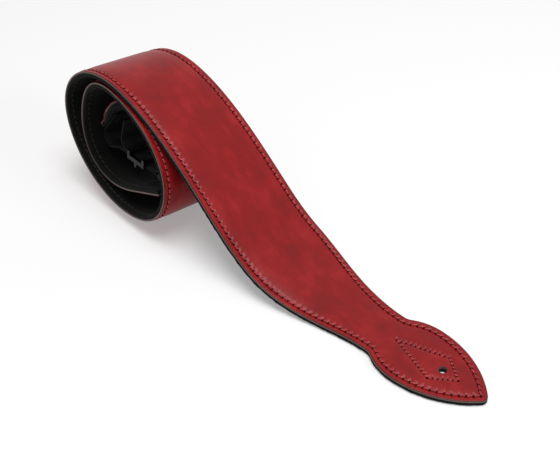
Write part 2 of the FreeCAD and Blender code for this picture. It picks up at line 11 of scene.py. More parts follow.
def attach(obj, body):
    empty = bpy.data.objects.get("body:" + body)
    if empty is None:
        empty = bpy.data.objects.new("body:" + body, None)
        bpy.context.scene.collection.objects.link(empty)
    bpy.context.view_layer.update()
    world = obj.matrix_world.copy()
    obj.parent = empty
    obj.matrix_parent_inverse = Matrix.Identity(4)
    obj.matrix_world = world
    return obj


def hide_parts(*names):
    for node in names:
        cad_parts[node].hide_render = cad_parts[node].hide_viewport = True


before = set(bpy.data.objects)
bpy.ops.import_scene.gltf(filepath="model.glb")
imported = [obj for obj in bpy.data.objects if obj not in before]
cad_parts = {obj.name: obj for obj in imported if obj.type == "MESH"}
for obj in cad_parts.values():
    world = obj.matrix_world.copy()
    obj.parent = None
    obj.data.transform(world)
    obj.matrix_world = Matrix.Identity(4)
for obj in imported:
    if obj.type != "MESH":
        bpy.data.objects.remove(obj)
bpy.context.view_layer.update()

bl_info = {
    "name": "Rolled guitar strap",
    "version": (1, 0, 0),
    "blender": (4, 5, 0),
    "location": "View3D > Sidebar > Strap",
    "description": "Builds the leather, suede, webbing, stitches and stage of a rolled guitar strap",
    "category": "Add Mesh",
}

# ---- the strap's sizes, in mm
BODY_WIDTH = 63.5
BODY_LENGTH = 787.0
THICKNESS = 4.0
FACE = 1.4
SUEDE = 0.9
GLUE = 0.15
WIDENING = 86.0
TIP_DISTANCE = 30.5          # from the button hole to the tip
WIDEST_DISTANCE = 19.3       # from the button hole back to the widest place
LEAF_HALF = 24.8
NECK_HALF = 18.15
TIP_RADIUS = 4.25
HEEL_RADIUS = 36.0
NECK_RADIUS = 8.0
HOLE_RADIUS = 2.5
INSET = 4.0                  # from the edge to the stitch line
SEAM_REACH = 6.0             # from a stitch line to where it no longer draws the leather in
GROOVE_WIDTH = 1.5
PUCKER_WIDTH = 2.6
HOLE_SHARE = 0.25            # of a groove's depth, which only its needle holes reach
KITE = [(-34.0, 0.0), (-3.0, 10.5), (10.8, 0.0), (-3.0, -10.5)]
WEB_WIDTH = 38.0
WEB = 0.8                    # half the webbing's thickness
LAYER_GAP = 0.2
SUEDE_TOP = -FACE - GLUE
FLOOR_TOP = -THICKNESS + SUEDE
PADDING_MARGIN = INSET + 1.0
LEAF_REACH = TIP_DISTANCE + WIDEST_DISTANCE
SIDE_RADIUS = (LEAF_REACH**2 - 2 * LEAF_REACH * TIP_RADIUS + LEAF_HALF**2) / (
    2 * (LEAF_HALF - TIP_RADIUS)
)
NECK_Y = NECK_HALF + NECK_RADIUS
HEEL_Y = LEAF_HALF - HEEL_RADIUS
SIDE_Y = LEAF_HALF - SIDE_RADIUS
TIP_X = TIP_DISTANCE - TIP_RADIUS
TIP_SLOPE = math.atan2(-SIDE_Y, TIP_X + WIDEST_DISTANCE)    # where side arc and tip arc meet
NECK_X = -WIDEST_DISTANCE - math.sqrt(
    (HEEL_RADIUS + NECK_RADIUS) ** 2 - (NECK_Y - HEEL_Y) ** 2
)
NECK_AT = TIP_DISTANCE - NECK_X
HEEL_END = math.atan2(NECK_Y - HEEL_Y, NECK_X + WIDEST_DISTANCE)

# How the strip bends along its length: (distance from the tip, bend in 1/m, outwards positive).
BENDS = [
    (0, 0), (85, 0), (120, 8.7), (150, 6.7), (175, 9), (200, -0.4), (250, -4.4), (290, -8),
    (320, -17.6), (350, -26), (375, -34.2), (400, -17.2), (440, -12.2), (480, -15.2),
    (510, -32.6), (540, -29.2), (575, -14.6), (610, -9), (640, -42.8), (670, -15.8),
    (700, -33.9), (730, -23.8), (752, -12.1), (765, 0), (800, 0),
]
# How it twists: (distance from the tip, twist in 1/m).
TWISTS = [
    (0, 0), (90, 0), (150, 0.52), (220, 0.41), (320, 0.95), (440, 0.08), (560, -0.73),
    (660, 0.02), (752, -1.05), (765, 0), (800, 0),
]
SIDE_BOW = (90.0, 560.0, 0.25)      # from, to, 1/m


# ---- colours
def linear(hex_code):
    """An sRGB hex colour as linear red, green and blue."""
    parts = [int(hex_code[i : i + 2], 16) / 255 for i in (0, 2, 4)]
    return tuple(c / 12.92 if c <= 0.04045 else ((c + 0.055) / 1.055) ** 2.4 for c in parts)


def colour(name, what, hex_code):
    """A colour property of the sidebar."""
    return bpy.props.FloatVectorProperty(
        name=name, description=what, subtype="COLOR", size=3, min=0, max=1,
        default=linear(hex_code),
    )


def length(name, what, default):
    """A length property in metres, given in mm."""
    return bpy.props.FloatProperty(
        name=name, description=what, unit="LENGTH", precision=5, min=0.0, default=default / 1000
    )


class StrapSizes(bpy.types.PropertyGroup):
    """Sizes of what is sewn and pressed into the strap."""

    edge_pitch: length("Edge stitch", "Length of one stitch of the edge seam", 4.1)
    kite_pitch: length("Kite stitch", "Length of one stitch round the button hole", 2.88)
    thread_width: length("Thread width", "Thickness of the sewing thread", 0.9)
    groove: length("Seam depth", "How far the seam pulls the leather down", 0.55)
    pucker: length("Pucker", "How far the leather gathers at each needle hole", 0.4)
    crown: length("Crown", "How far the padding lifts the leather", 0.45)
    thread_seed: bpy.props.IntProperty(
        name="Thread seed", description="Picks the small differences between stitches", default=7
    )


class StrapColours(bpy.types.PropertyGroup):
    """Colours of the strap's materials."""

    leather: colour("Leather", "Main red of the face leather", "861114")
    leather_dark: colour("Leather, dark", "Red where the wax lies thick", "741012")
    leather_light: colour("Leather, light", "Red where the leather is pulled", "9C1E20")
    raw_edge: colour("Cut edge", "Core of the leather at its cut edge", "75655F")
    suede: colour("Suede", "Napped backing", "080807")
    foam: colour("Foam", "Padding between the layers", "3B3B3D")
    board: colour("Leather board", "Stiffener inside the leaves", "7A5B40")
    red_thread: colour("Needle thread", "Thread on the red face", "A83C40")
    black_thread: colour("Bobbin thread", "Thread on the suede", "0D0D0C")
    # The two hole colours are painted shade: the dark insides of the needle holes, laid as small
    # discs.
    red_hole: colour("Hole in the face", "Inside of a needle hole in the red face", "3A0C0F")
    black_hole: colour("Hole in the suede", "Inside of a needle hole in the suede", "060606")
    webbing: colour("Webbing", "Adjuster webbing", "09090A")
    metal: colour("Metal", "Black nickel plating", "2B2A29")
    floor: colour("Floor", "Studio floor", "FFFFFF")


# ---- the strap's lie
def eased(x):
    """0 to 1, easing in and out."""
    x = min(max(x, 0.0), 1.0)
    return x * x * (3 - 2 * x)


def between(knots, x):
    """The knots' value at x, straight from one knot to the next."""
    for (x0, y0), (x1, y1) in zip(knots, knots[1:]):
        if x <= x1:
            return y0 + (y1 - y0) * (x - x0) / (x1 - x0)
    return knots[-1][1]


def lay_out():
    """The outer face along its middle, a millimetre at a time: (place, [along, out, across])."""
    vectors = [Vector((-1, 0, 0)), Vector((0, 0, 1)), Vector((0, 1, 0))]
    place = Vector((TIP_DISTANCE, 0, THICKNESS))
    line = [(place, vectors)]
    for i in range(int(BODY_LENGTH) + 2):
        at = i + 0.5
        bow = SIDE_BOW[2] if SIDE_BOW[0] < at < SIDE_BOW[1] else 0.0
        turn = Vector((between(TWISTS, at), -bow, between(BENDS, at))) * 0.001
        axis = vectors[0] * turn.x + vectors[1] * turn.y + vectors[2] * turn.z
        ahead = vectors
        if axis.length > 1e-12:
            spin = Quaternion(axis.normalized(), axis.length)
            ahead = [spin @ v for v in vectors]
        place = place + (vectors[0] + ahead[0]) * 0.5
        vectors = ahead
        line.append((place, vectors))
    return line


LINE = lay_out()


def strip_station(u):
    """Place, outward and sideways directions of the strip at distance u from the tip."""
    i = max(0, min(int(u), len(LINE) - 2))
    part = u - i
    (p0, f0), (p1, f1) = LINE[i], LINE[i + 1]
    out = (f0[1] * (1 - part) + f1[1] * part).normalized()
    side = (f0[2] * (1 - part) + f1[2] * part).normalized()
    return p0 * (1 - part) + p1 * part, out, side


# ---- the tail inside the roll
TAIL_SIDE = -4.0
CHAPE_LENGTH = 22.0
CHAPE_REACH = 3.0
CHAPE_TURNED_IN = 8.0
CHAPE_SEAM = 8.0
RING_LEAN = 175.0
RING_PITCH = 9.0
LOOP_RADIUS = 2.55           # webbing's middle round the ring's wire
LOOP_CLOSE = 30.0
LOOP_EASE = 3.0
RUN_SPACING = 2 * WEB + LAYER_GAP
LEAF_SIDE_MOVES = [(0, 43.5), (20.0, 32.0), (7.0, -158.0), (0, 20.0)]
FREE_END_MOVES = [(0, 32.0), (6.0, -100.0), (0, 14.0)]
REAR_STRAIGHT = 26.0
REAR_BEND = 26.0
REAR_NECK_HALF = (WEB_WIDTH + 3.0) / 2
NECK_SEAM_START = 5.5
NECK_SEAM = 12.0
WEB_STEP = 0.8               # between two sections of the webbing


def way(heading, distance=1.0):
    """A step in the tail's upright plane."""
    angle = math.radians(heading)
    return Vector((math.cos(angle), 0, math.sin(angle))) * distance


def tail_plane():
    """The tail's origin, its three directions and the heading of the strip's end."""
    place, vectors = LINE[int(BODY_LENGTH)]
    along, out, side = vectors
    level = (Vector((1, 0, 0)) - side * side.x).normalized()
    up = level.cross(side)
    heading = math.degrees(math.atan2(along.dot(up), along.dot(level)))
    return place + side * TAIL_SIDE, level, side, up, heading


TAIL_ORIGIN, LEVEL, SIDEWAYS, UP, END_HEADING = tail_plane()


def in_tail(v):
    """A direction of the tail's plane, in the frame."""
    return LEVEL * v.x + SIDEWAYS * v.y + UP * v.z


def route(start, heading, moves, step):
    """Points along straights and arcs: (distance, place, heading)."""
    points = [(0.0, start, heading)]
    for radius, amount in moves:
        done, begin, before = points[-1]
        turn = amount if radius else 0.0
        run = abs(math.radians(amount)) * radius if radius else amount
        sign = math.copysign(90, turn)
        count = max(1, math.ceil(run / step))
        for k in range(1, count + 1):
            part = k / count
            place = begin + way(before, run * part)
            if radius:
                middle = begin + way(before + sign, radius)
                place = middle + way(before + turn * part - sign, radius)
            points.append((done + run * part, place, before + turn * part))
    return points


def loop_moves(spacing):
    """Round a ring bar and back against the other run, as (radius, degrees or distance)."""
    lean = math.radians(LOOP_CLOSE)
    drop = LOOP_RADIUS * (1 + math.cos(lean)) - LOOP_EASE * (1 - math.cos(lean)) - spacing
    return [
        (LOOP_RADIUS, 180 + LOOP_CLOSE),
        (0, drop / math.sin(lean)),
        (LOOP_EASE, -LOOP_CLOSE),
    ]


CHAPE_OFFSET = THICKNESS + LAYER_GAP + WEB
CHAPE_START = way(END_HEADING, -CHAPE_LENGTH) + way(END_HEADING + 90, CHAPE_OFFSET)
BAR_ONE = way(END_HEADING, CHAPE_REACH) + way(END_HEADING + 90, CHAPE_OFFSET + LOOP_RADIUS)
BAR_TWO = BAR_ONE + way(RING_LEAN, RING_PITCH)
RUN_START = BAR_TWO - Vector((0, 0, LOOP_RADIUS))
_, NECK_PLACE, NECK_HEADING = route(RUN_START, 180.0, LEAF_SIDE_MOVES[:-1], 1.0)[-1]
REAR_START = NECK_PLACE + way(NECK_HEADING + 90, WEB + LAYER_GAP + THICKNESS)


def tail_station(place, heading):
    """Place, outward and sideways directions of a tail piece at a point of its route."""
    return TAIL_ORIGIN + in_tail(place), in_tail(way(heading + 90)), SIDEWAYS


def rear_station(distance):
    """The same on the rear leaf's outer face, by distance from its neck end."""
    if distance <= REAR_STRAIGHT:
        return tail_station(REAR_START + way(NECK_HEADING, distance), NECK_HEADING)
    turn = math.degrees((distance - REAR_STRAIGHT) / REAR_BEND)
    middle = REAR_START + way(NECK_HEADING, REAR_STRAIGHT) + way(NECK_HEADING - 90, REAR_BEND)
    return tail_station(middle + way(NECK_HEADING - turn + 90, REAR_BEND), NECK_HEADING - turn)


REAR_HOLE = rear_station(NECK_AT - TIP_DISTANCE)[:2]


# ---- the cut outline
def leaf_half(x, inset):
    """Half the leaf's width, moved in by inset, at x along the leaf."""
    from_widest = x + WIDEST_DISTANCE
    if from_widest >= 0:
        wide = SIDE_Y + math.sqrt(max((SIDE_RADIUS - inset) ** 2 - from_widest**2, 0))
        reach = TIP_RADIUS - inset
        if reach > 0.2 and x > TIP_X + reach * math.cos(TIP_SLOPE):
            wide = min(wide, math.sqrt(max(reach**2 - (x - TIP_X) ** 2, 0)))
        return max(wide, 0.0)
    share = (HEEL_RADIUS - inset) / (HEEL_RADIUS + NECK_RADIUS)
    touch = -WIDEST_DISTANCE + (NECK_X + WIDEST_DISTANCE) * share
    if x > touch:
        return HEEL_Y + math.sqrt((HEEL_RADIUS - inset) ** 2 - from_widest**2)
    return NECK_Y - math.sqrt(max((NECK_RADIUS + inset) ** 2 - (x - NECK_X) ** 2, 0))


def strip_half(u, inset=0.0):
    """Half the strip's width at distance u from the tip."""
    if u < NECK_AT:
        return leaf_half(TIP_DISTANCE - u, inset)
    smooth = eased((u - NECK_AT) / WIDENING)
    return NECK_HALF + (BODY_WIDTH / 2 - NECK_HALF) * smooth - inset


def rear_half(distance, inset=0.0):
    """Half the rear leaf's width at a distance from its neck end."""
    x = TIP_DISTANCE - NECK_AT + distance
    wide = leaf_half(x, inset)
    if x < -WIDEST_DISTANCE:
        radius = HEEL_RADIUS - inset
        rise = max(radius**2 - (x + WIDEST_DISTANCE) ** 2, 0.0)
        wide = max(HEEL_Y + math.sqrt(rise), REAR_NECK_HALF - inset)
    return wide


def tip_start(inset):
    """Distance from the tip at which the outline, moved in by inset, begins."""
    if inset < TIP_RADIUS - 0.2:
        return inset
    return TIP_DISTANCE + WIDEST_DISTANCE - math.sqrt((SIDE_RADIUS - inset) ** 2 - SIDE_Y**2)


def edge_distance(x, y):
    """How far a point of the leaf is from its outline."""
    y = abs(y)
    if x > TIP_X and math.atan2(y, x - TIP_X) < TIP_SLOPE:
        return TIP_RADIUS - math.hypot(x - TIP_X, y)
    if x >= -WIDEST_DISTANCE:
        return SIDE_RADIUS - math.hypot(x + WIDEST_DISTANCE, y - SIDE_Y)
    if math.atan2(y - HEEL_Y, x + WIDEST_DISTANCE) < HEEL_END:
        return HEEL_RADIUS - math.hypot(x + WIDEST_DISTANCE, y - HEEL_Y)
    return math.hypot(x - NECK_X, y - NECK_Y) - NECK_RADIUS


# ---- seams on the flat pattern
def spaced(points, step=0.5):
    """The same line with points no further apart than step, as (u, v, distance along)."""
    line = [(points[0][0], points[0][1], 0.0)]
    for (u0, v0), (u1, v1) in zip(points, points[1:]):
        run = math.hypot(u1 - u0, v1 - v0)
        count = max(1, math.ceil(run / step))
        begin = line[-1][2]
        for k in range(1, count + 1):
            part = k / count
            line.append((u0 + (u1 - u0) * part, v0 + (v1 - v0) * part, begin + run * part))
    return line


def seam_of(points, pitch):
    """A stitched line with its whole number of equal stitches and a finder for near points."""
    line = spaced(points)
    finder = KDTree(len(line))
    for i, (u, v, _) in enumerate(line):
        finder.insert((u, v, 0), i)
    finder.balance()
    run = line[-1][2]
    count = max(1, round(run / pitch))
    return {"line": line, "finder": finder, "stitch": run / count}


def there_and_back(side):
    """One side's line, and back along the other side."""
    return side + [(u, -v) for u, v in reversed(side)]


def rear_rows(start, reach, count):
    """Distances from the rear leaf's neck, close together at its tip."""
    return [start + (reach - start) * math.sin(math.pi / 2 * k / count)
            for k in range(count + 1)]


def edge_line():
    """The closed stitch line round the front leaf and both edges of the strip."""
    start = tip_start(INSET)
    last = BODY_LENGTH - INSET
    us = [start + (NECK_AT - start) * (k / 90) ** 2 for k in range(91)]
    us += [NECK_AT + (last - NECK_AT) * k / 350 for k in range(1, 351)]
    return there_and_back([(u, strip_half(u, INSET)) for u in us])


def rear_line():
    """The open stitch line round the rear leaf, neck to neck."""
    rows = rear_rows(3.0, NECK_AT - tip_start(INSET), 70)
    return there_and_back([(d, rear_half(d, INSET)) for d in rows])


def four_sides(corners):
    """The straight sides between four corners."""
    return [[corners[i], corners[(i + 1) % 4]] for i in range(4)]


def kite_lines():
    """The sides of the kite round the front button hole."""
    return four_sides([(TIP_DISTANCE - x, y) for x, y in KITE])


def box_lines(start, run, half):
    """The sides of a sewn rectangle."""
    a, b = start, start + run
    return four_sides([(a, -half), (b, -half), (b, half), (a, half)])


def pulled_down(seams, u, v, sizes):
    """How far the thread has drawn the leather in at a point of the flat pattern, in mm."""
    depth = 0.0
    for seam in seams:
        _, index, off = seam["finder"].find((u, v, 0))
        if off < SEAM_REACH:
            phase = seam["line"][index][2] / seam["stitch"]
            hole = (0.5 + 0.5 * math.cos(2 * math.pi * phase)) ** 2
            groove = sizes.groove * 1000 * math.exp(-((off / GROOVE_WIDTH) ** 2))
            groove *= 1 - HOLE_SHARE + HOLE_SHARE * hole
            gather = sizes.pucker * 1000 * math.exp(-((off / PUCKER_WIDTH) ** 2)) * hole
            depth = max(depth, groove + gather)
    return depth


# ---- meshes
MM = 0.001


def spread(half, count):
    """Places across a strip, close together in the 8 mm along its edges."""
    zone = 8.0 * min(1.0, half / 12.0)
    outer = count // 4
    inner = count - 2 * outer
    left = [zone * (k / outer) ** 1.35 for k in range(outer)]
    middle = [zone + (2 * (half - zone)) * k / inner for k in range(inner + 1)]
    right = [2 * half - x for x in reversed(left)]
    return [x - half for x in left + middle + right]


def linked(name, mesh):
    """An object of that mesh in the scene."""
    thing = bpy.data.objects.new(name, mesh)
    bpy.context.collection.objects.link(thing)
    return thing


def sweep(name, us, station, section):
    """A closed shell through the sections (v, height, skin) at each distance u, in metres."""
    mesh = bpy.data.meshes.new(name)
    build = bmesh.new()
    skin = build.verts.layers.float.new("skin")
    pattern = build.loops.layers.uv.new("pattern")
    flat = {}
    rings = []
    for u in us:
        place, out, side = station(u)
        ring = []
        for v, height, share in section(u):
            vert = build.verts.new((place + side * v + out * height) * MM)
            vert[skin] = share
            flat[vert] = (u, v + (height if abs(share) < 0.5 else 0.0))
            ring.append(vert)
        rings.append(ring)
    size = len(rings[0])
    for first, second in zip(rings, rings[1:]):
        for i in range(size):
            j = (i + 1) % size
            build.faces.new((first[i], first[j], second[j], second[i]))
    build.faces.new(list(reversed(rings[0])))
    build.faces.new(rings[-1])
    for face in build.faces:
        for loop in face.loops:
            loop[pattern].uv = flat[loop.vert]
    bmesh.ops.recalc_face_normals(build, faces=build.faces)
    build.to_mesh(mesh)
    build.free()
    return linked(name, mesh)


def apply_modifiers(thing):
    """The object's mesh as its modifiers leave it, with the modifiers gone."""
    graph = bpy.context.evaluated_depsgraph_get()
    made = bpy.data.meshes.new_from_object(
        thing.evaluated_get(graph), preserve_all_data_layers=True, depsgraph=graph
    )
    thing.modifiers.clear()
    thing.data = made


def punch(thing, place, axis):
    """A round button hole through a leaf, cut by a cylinder 20 mm long."""
    mesh = bpy.data.meshes.new("punch")
    build = bmesh.new()
    turn = Vector((0, 0, 1)).rotation_difference(axis).to_matrix().to_4x4()
    bmesh.ops.create_cone(
        build, cap_ends=True, segments=40, radius1=HOLE_RADIUS / 1000,
        radius2=HOLE_RADIUS / 1000, depth=0.02,
    )
    bmesh.ops.transform(build, matrix=turn, verts=build.verts)
    bmesh.ops.translate(build, vec=place * MM, verts=build.verts)
    build.to_mesh(mesh)
    build.free()
    cutter = linked("punch", mesh)
    cut = thing.modifiers.new("hole", "BOOLEAN")
    cut.operation = "DIFFERENCE"
    cut.solver = "EXACT"
    cut.object = cutter
    apply_modifiers(thing)
    bpy.data.objects.remove(cutter)


def crease(thing, degrees):
    """Marks the sharp edges, so that the flat cut walls don't shade round."""
    build = bmesh.new()
    build.from_mesh(thing.data)
    limit = math.radians(degrees)
    for face in build.faces:
        face.smooth = True
    for edge in build.edges:
        edge.smooth = len(edge.link_faces) == 2 and edge.calc_face_angle(0) < limit
    build.to_mesh(thing.data)
    build.free()


def hand_over(thing, node):
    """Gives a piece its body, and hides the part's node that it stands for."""
    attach(thing, "strap")
    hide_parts(node)


def build_piece(name, us, station, section, cloth, slot, node, hole=None, degrees=38.0):
    """Sweeps a piece of one material, with its button hole if it has one, and hands it over."""
    thing = sweep(name, us, station, section)
    if hole:
        punch(thing, *hole)
    crease(thing, degrees)
    thing.data.materials.clear()
    thing.data.materials.append(cloth)
    hand_over(thing, node)
    return thing


# ---- materials
def rgba(shade, share=1.0):
    """A colour, or a grey given as one number, with its light multiplied by share."""
    parts = shade if hasattr(shade, "__len__") else (shade, shade, shade)
    return (*(min(1.0, c * share) for c in parts), 1.0)


def add(tree, kind, inputs=(), stops=(), output=0, **settings):
    """Adds a node, sets it, and fills its sockets from values or other nodes' outputs.

    A colour ramp's stops are (position, colour or grey, share of its light). Gives the output
    asked for, or all of them for None.
    """
    made = tree.nodes.new(kind)
    for name, value in settings.items():
        setattr(made, name, value)
    for key, value in inputs.items() if isinstance(inputs, dict) else enumerate(inputs):
        if isinstance(value, bpy.types.NodeSocket):
            tree.links.new(value, made.inputs[key])
        else:
            made.inputs[key].default_value = value
    if stops:
        band = made.color_ramp.elements
        while len(band) < len(stops):
            band.new(0.5)
        for element, (place, *shade) in zip(band, stops):
            element.position = place
            element.color = rgba(*shade)
    return made.outputs if output is None else made.outputs[output]


def emptied(owner):
    """The cleared node tree of a material or world."""
    owner.use_nodes = True
    owner.node_tree.nodes.clear()
    return owner.node_tree


def material(name, make, shades):
    """The material of that name, made the first time it is asked for, from the strap's
    colours or one of them."""
    made = bpy.data.materials.get(name)
    if made is None:
        made = bpy.data.materials.new(name)
        tree = emptied(made)
        shader = add(tree, "ShaderNodeBsdfPrincipled", make(partial(add, tree), shades))
        add(tree, "ShaderNodeOutputMaterial", {"Surface": shader}, output=None)
    return made


def pull_up_leather(put, shades):
    """Waxed, drum-dyed leather. Cloudy where the wax has moved, with a soft sheen; its cut
    edge shows the undyed core."""
    pattern = put("ShaderNodeUVMap", uv_map="pattern")
    place = put("ShaderNodeTexCoord", output="Object")
    clouds = put("ShaderNodeTexNoise",
                 {"Vector": pattern, "Scale": 1 / 24, "Detail": 5.0, "Roughness": 0.6})
    slanted = put("ShaderNodeMapping", {"Vector": pattern, "Scale": (0.45, 1.0, 1.0),
                                        "Rotation": (0, 0, 0.25)})
    smears = put("ShaderNodeTexNoise",
                 {"Vector": slanted, "Scale": 1 / 7, "Detail": 5.0, "Roughness": 0.65})
    faint = put("ShaderNodeMath", [smears, 0.4], operation="MULTIPLY")
    both = put("ShaderNodeMath", [clouds, 0.6, faint], operation="MULTIPLY_ADD")
    red = put("ShaderNodeValToRGB", [both], [
        (0.34, shades.leather_dark), (0.5, shades.leather), (0.68, shades.leather_light),
    ])
    # The skin attribute is 1 on the face, falls along the rim and is 0 on the cut edge; the red is
    # darker along that rim.
    skin = put("ShaderNodeAttribute", attribute_name="skin", output="Fac")
    darker_rim = put("ShaderNodeValToRGB", [skin], [(0.6, 1.0), (0.95, 0.0)])
    rim = put("ShaderNodeMix", {"Factor": darker_rim, 6: red, 7: rgba(shades.leather_dark, 0.3)},
              data_type="RGBA", output=2)
    fibres = put("ShaderNodeTexNoise", {"Vector": place, "Scale": 1 / (0.9 * MM),
                                        "Detail": 3.0, "Roughness": 0.6})
    core = put("ShaderNodeValToRGB", [fibres],
               [(0.3, shades.raw_edge, 0.55), (0.7, shades.raw_edge)])
    share = put("ShaderNodeValToRGB", [skin], [(0.2, 0.0), (0.45, 1.0)])
    sheen = put("ShaderNodeValToRGB", [smears], [(0.3, 0.40), (0.7, 0.52)])
    # Pebbled grain about 1 mm wide, over slow hollows 7 mm wide left by the animal's hide.
    pebbles = put("ShaderNodeTexVoronoi", {"Vector": place, "Scale": 1 / (1.1 * MM)},
                  feature="SMOOTH_F1")
    hollows = put("ShaderNodeTexNoise", {"Vector": place, "Scale": 1 / (7 * MM),
                                         "Detail": 2.0, "Roughness": 0.5})
    coarse = put("ShaderNodeBump",
                 {"Height": hollows, "Strength": 0.5, "Distance": 0.35 * MM})
    # The coat is the wax film, worked in by rubbing: it shines where the seams draw the leather
    # down.
    return {
        "Base Color": put("ShaderNodeMix", {"Factor": share, 6: core, 7: rim},
                          data_type="RGBA", output=2),
        "Roughness": put("ShaderNodeMix", {"Factor": share, 2: 0.85, 3: sheen},
                         data_type="FLOAT"),
        "Specular IOR Level": 0.06,
        "Coat Weight": 0.33,
        "Coat Roughness": 0.27,
        "Normal": put("ShaderNodeBump", {"Height": pebbles, "Strength": 0.35,
                                         "Distance": 0.12 * MM, "Normal": coarse}),
    }


def napped_suede(put, shades):
    """Split leather with a raised nap: very dark, matt, with a faint bloom at grazing angles."""
    place = put("ShaderNodeTexCoord", output="Object")
    nap, strokes = [
        put("ShaderNodeTexNoise", {"Vector": place, "Scale": 1 / (size * MM),
                                   "Detail": detail, "Roughness": rough})
        for size, detail, rough in ((0.5, 4.0, 0.65), (9, 3.0, 0.5))
    ]
    mixed = put("ShaderNodeMath", [nap, strokes], operation="ADD")
    black = put("ShaderNodeValToRGB", [mixed],
                [(0.75, shades.suede, 0.55), (1.0, shades.suede, 1.6)])
    bump = put("ShaderNodeBump", {"Height": nap, "Strength": 0.8, "Distance": 0.3 * MM})
    return {"Base Color": black, "Roughness": 0.95, "Specular IOR Level": 0.1,
            "Sheen Weight": 0.04, "Sheen Roughness": 0.5, "Normal": bump}


def closed_cell_foam(put, shades):
    """Sliced foam sheet: matt, with cut cells about 1 mm across, and painted shade in the cells'
    hollows.
    """
    place = put("ShaderNodeTexCoord", output="Object")
    cells = put("ShaderNodeTexVoronoi", {"Vector": place, "Scale": 1 / MM})
    # Painted shade: the grey is darker towards the middle of each cut cell, where it dips.
    grey = put("ShaderNodeValToRGB", [cells], [(0.1, shades.foam, 0.5), (0.5, shades.foam)])
    bump = put("ShaderNodeBump", {"Height": cells, "Distance": 0.2 * MM})
    return {"Base Color": grey, "Roughness": 0.9, "Normal": bump}


def flecked(put, shade, dark, size, detail, uneven, low, high):
    """Flecks of a size in mm, from a dark share of the shade's light to the shade itself."""
    place = put("ShaderNodeTexCoord", output="Object")
    flecks = put("ShaderNodeTexNoise", {"Vector": place, "Scale": 1 / (size * MM),
                                        "Detail": detail, "Roughness": uneven})
    return flecks, put("ShaderNodeValToRGB", [flecks], [(low, shade, dark), (high, shade)])


def leather_board(put, shades):
    """Pressed leather fibre board: brown, matt, flecked."""
    flecks, brown = flecked(put, shades.board, 0.6, 1.5, 4.0, 0.7, 0.35, 0.65)
    bump = put("ShaderNodeBump", {"Height": flecks, "Distance": 0.1 * MM})
    return {"Base Color": brown, "Roughness": 0.8, "Normal": bump}


def bonded_thread(put, shade):
    """Bonded polyester thread: three plies wound at a steep angle, with a dull shine."""
    strand = put("ShaderNodeAttribute", attribute_name="strand", output="Vector")
    tone = put("ShaderNodeAttribute", attribute_name="tone", output="Fac")
    axis = put("ShaderNodeSeparateXYZ", [strand], output=None)
    # One ply crosses every 0.5 mm.
    lean = put("ShaderNodeMath", [axis["Y"], 1.0, axis["X"]], operation="MULTIPLY_ADD")
    turns = put("ShaderNodeMath", [lean, 2 * math.pi / (0.5 * MM)], operation="MULTIPLY")
    plies = put("ShaderNodeMath", [turns], operation="SINE")
    dye = put("ShaderNodeValToRGB", [tone], [(0.0, shade, 0.7), (1.0, shade, 1.25)])
    bump = put("ShaderNodeBump", {"Height": plies, "Strength": 0.5, "Distance": 0.06 * MM})
    return {"Base Color": dye, "Roughness": 0.55, "Specular IOR Level": 0.3, "Normal": bump}


def painted_hole_shade(put, shade):
    """Painted shade for the inside of a needle hole: dark, dull, a little fibrous."""
    _, deep = flecked(put, shade, 0.5, 0.4, 3.0, 0.6, 0.3, 0.7)
    return {"Base Color": deep, "Roughness": 0.9, "Specular IOR Level": 0.1}


def woven_webbing(put, shades):
    """Polyester webbing: warp yarns 1.3 mm wide pass over and under picks 1.7 mm apart, with painted
    shade in the weave's dips and painted highlights where the yarns cross.
    """
    pattern = put("ShaderNodeUVMap", uv_map="pattern")
    axis = put("ShaderNodeSeparateXYZ", [pattern], output=None)
    waves = []
    for name, width in (("Y", 1.3), ("X", 1.7)):
        turn = put("ShaderNodeMath", [axis[name], math.pi / width], operation="MULTIPLY")
        waves.append(put("ShaderNodeMath", [turn], operation="SINE"))
    weave = put("ShaderNodeMath", waves, operation="MULTIPLY")
    ridge = put("ShaderNodeMath", [weave], operation="ABSOLUTE")
    # Painted shade and painted highlight: the black is darkened along the weave's dips and lightened
    # where the yarns cross.
    yarn = put("ShaderNodeValToRGB", [ridge],
               [(0.1, shades.webbing, 0.45), (0.9, shades.webbing, 1.8)])
    bump = put("ShaderNodeBump", {"Height": ridge, "Strength": 0.9, "Distance": 0.3 * MM})
    return {"Base Color": yarn, "Roughness": 0.6, "Specular IOR Level": 0.15, "Normal": bump}


def black_nickel(put, shades):
    """Steel under black nickel plating: dark, satin, with faint handling marks."""
    marks, dark = flecked(put, shades.metal, 0.8, 2.5, 5.0, 0.7, 0.35, 0.65)
    satin = put("ShaderNodeValToRGB", [marks], [(0.3, 0.28), (0.7, 0.42)])
    bump = put("ShaderNodeBump", {"Height": marks, "Strength": 0.2, "Distance": 0.05 * MM})
    return {"Base Color": dark, "Roughness": satin, "Metallic": 1.0, "Normal": bump}


# ---- stitches
STITCH_SHARE = 0.46          # half of a thread's length, as a share of the stitch
STITCH_LEAN = 0.10           # how far each stitch turns off the seam's line, in radians
STITCH_SINK = 0.0003         # how far its ends go into the needle holes, in metres
NEEDLE_HOLE_SHADE = 0.00165        # across the disc of painted shade at a needle hole, in metres
TREE_INPUTS = {
    "Geometry": "Geometry", "Stitch Length": "Float", "Thread Width": "Float",
    "Rise": "Float", "Sink": "Float", "Lean": "Float", "Seed": "Int",
    "Material": "Material", "Hole Width": "Float", "Hole Material": "Material",
}


